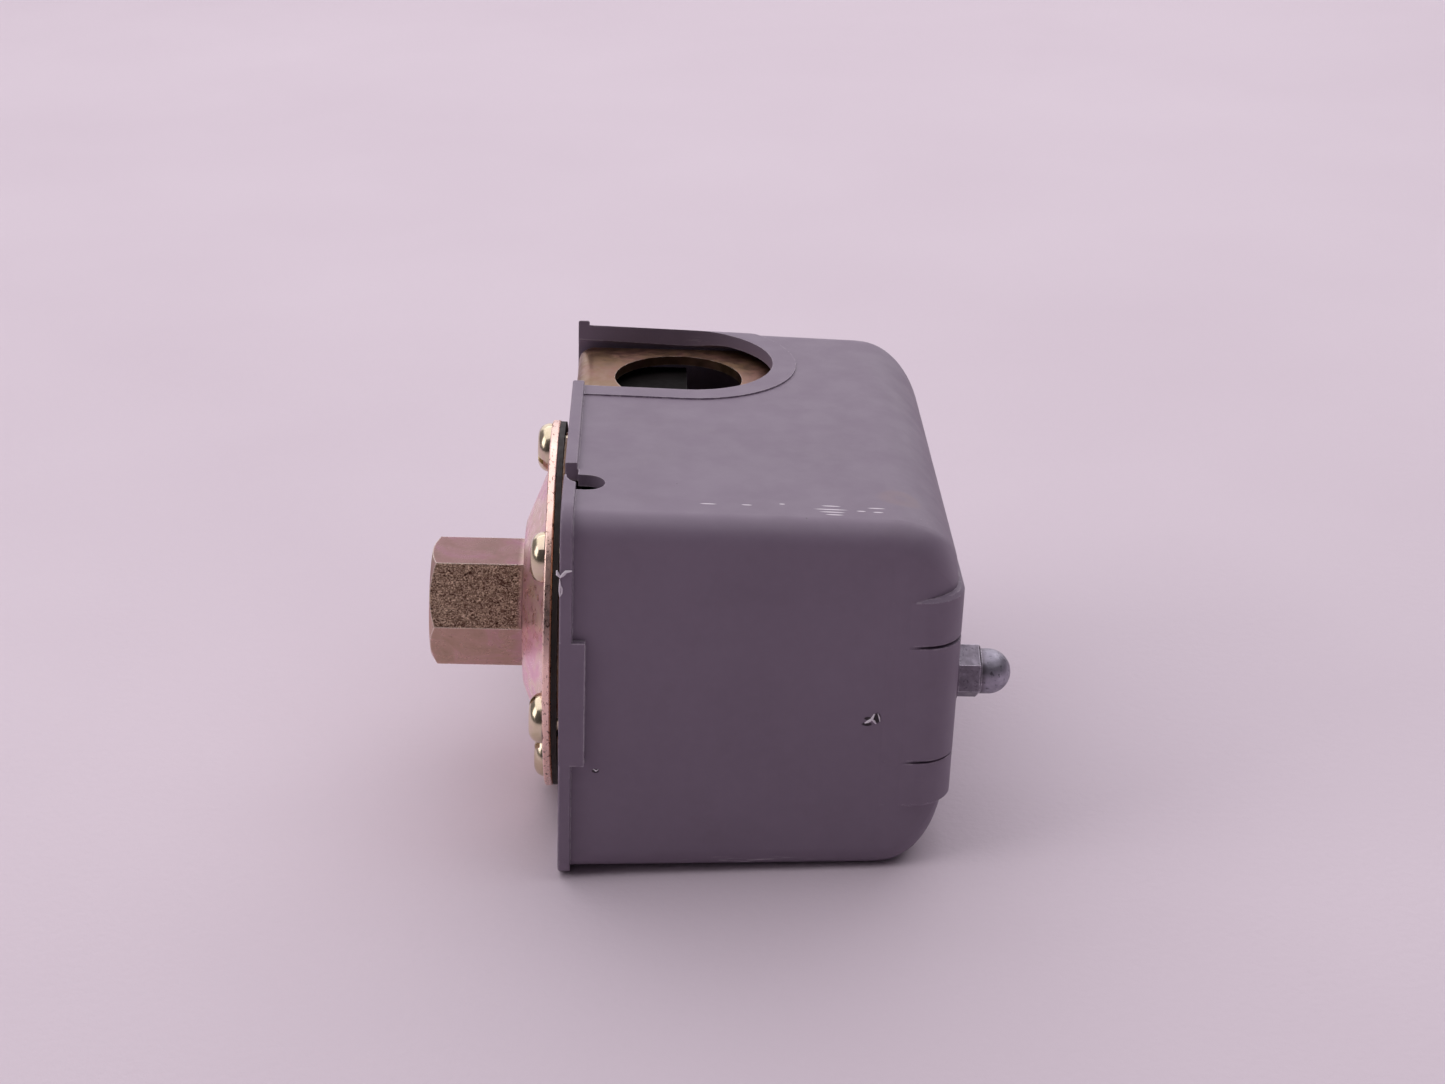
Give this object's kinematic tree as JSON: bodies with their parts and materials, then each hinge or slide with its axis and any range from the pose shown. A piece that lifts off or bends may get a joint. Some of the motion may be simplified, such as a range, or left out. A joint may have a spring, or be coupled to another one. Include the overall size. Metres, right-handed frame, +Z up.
{
  "type": "pressure switch",
  "caption": "Pressure switch with a hexagonal female port, round bolted flange, plated steel base with conduit ears, spring-loaded lever, contacts, and a grey lift-off cover held by a cap nut.",
  "frame": {"origin": "on the port's axis, at the port's mouth", "axes": "+X along the switch from the port's mouth to the cap nut; +Z up, out of the upper conduit entry; the springs are on the -Y side and the terminals on the +Y side"},
  "size_m": [0.1051, 0.1048, 0.0712],
  "materials": {
    "grey_cover": "moulded grey plastic, fine texture, light scuffs",
    "yellow_zinc": "yellow chromate zinc plate with iridescent patches",
    "zinc_cap": "dull zinc plate",
    "steel": "bright zinc plate",
    "spring_steel": "plated spring wire",
    "black_rubber": "moulded rubber",
    "nylon": "natural nylon",
    "phenolic": "black phenolic moulding",
    "brass": "stamped brass",
    "silver": "silver contact rivet",
    "green_zinc": "green dyed screw",
    "fibre": "fibre sheet",
    "carrier_red": "moulded thermoset"
  },
  "bodies": {
    "base": {"base_bracket": "yellow_zinc", "pressure_port": "yellow_zinc", "flange_screws": "yellow_zinc", "diaphragm": "black_rubber", "spacer_ring": "yellow_zinc", "ground_screws": "green_zinc", "ground_washers": "steel", "lever_bracket": "yellow_zinc", "pivot_pin": "steel", "pin_clips": "spring_steel", "range_stud": "steel", "stud_nut": "steel", "differential_stud": "steel", "insulating_sheet": "fibre", "terminal_block": "phenolic", "block_screws": "steel", "terminal_plates": "brass", "wire_clamps": "yellow_zinc", "terminal_screws": "steel", "fixed_contacts": "silver"},
    "cover_shell": {"cover": "grey_cover"},
    "cap": {"cap_nut": "zinc_cap"},
    "piston": {"plunger": "nylon"},
    "lever": {"operating_lever": "yellow_zinc", "spring_seats": "steel", "range_spring": "spring_steel", "differential_spring": "spring_steel", "snap_spring": "spring_steel"},
    "contacts": {"contact_carrier": "carrier_red", "contact_bridges": "brass", "moving_contacts": "silver", "contact_springs": "spring_steel"},
    "range_adjuster": {"range_nut": "steel", "range_washer": "steel"},
    "differential_adjuster": {"differential_nut": "steel", "differential_washer": "steel"}
  },
  "joints": [
    {"name": "cover_lift", "type": "slide", "parent": "base", "child": "cover_shell", "axis": [1, 0, 0], "range_m": [0, 0.08]},
    {"name": "cap_nut_unscrew", "type": "slide", "parent": "cover_shell", "child": "cap", "axis": [1, 0, 0], "range_m": [0, 0.012]},
    {"name": "plunger_stroke", "type": "slide", "parent": "base", "child": "piston", "axis": [1, 0, 0], "range_m": [0, 0.001]},
    {"name": "lever_tip", "type": "hinge", "parent": "base", "child": "lever", "pos_m": [0.0405, 0.015, 0], "axis": [0, 0, 1], "range_deg": [0, 3.8], "deforming": ["range_spring", "differential_spring", "snap_spring"]},
    {"name": "contacts_open", "type": "hinge", "parent": "base", "child": "contacts", "pos_m": [0.0405, 0.015, 0], "axis": [0, 0, -1], "range_deg": [0, 9]},
    {"name": "range_adjust", "type": "slide", "parent": "base", "child": "range_adjuster", "axis": [1, 0, 0], "range_m": [-0.004, 0.008]},
    {"name": "differential_adjust", "type": "slide", "parent": "base", "child": "differential_adjuster", "axis": [1, 0, 0], "range_m": [-0.003, 0.003]}
  ],
  "couplings": [
    {"joint": "contacts_open", "follows": "lever_tip", "ratio": 2.3},
    {"joint": "plunger_stroke", "follows": "lever_tip", "m_per_rad": 0.0144}
  ]
}
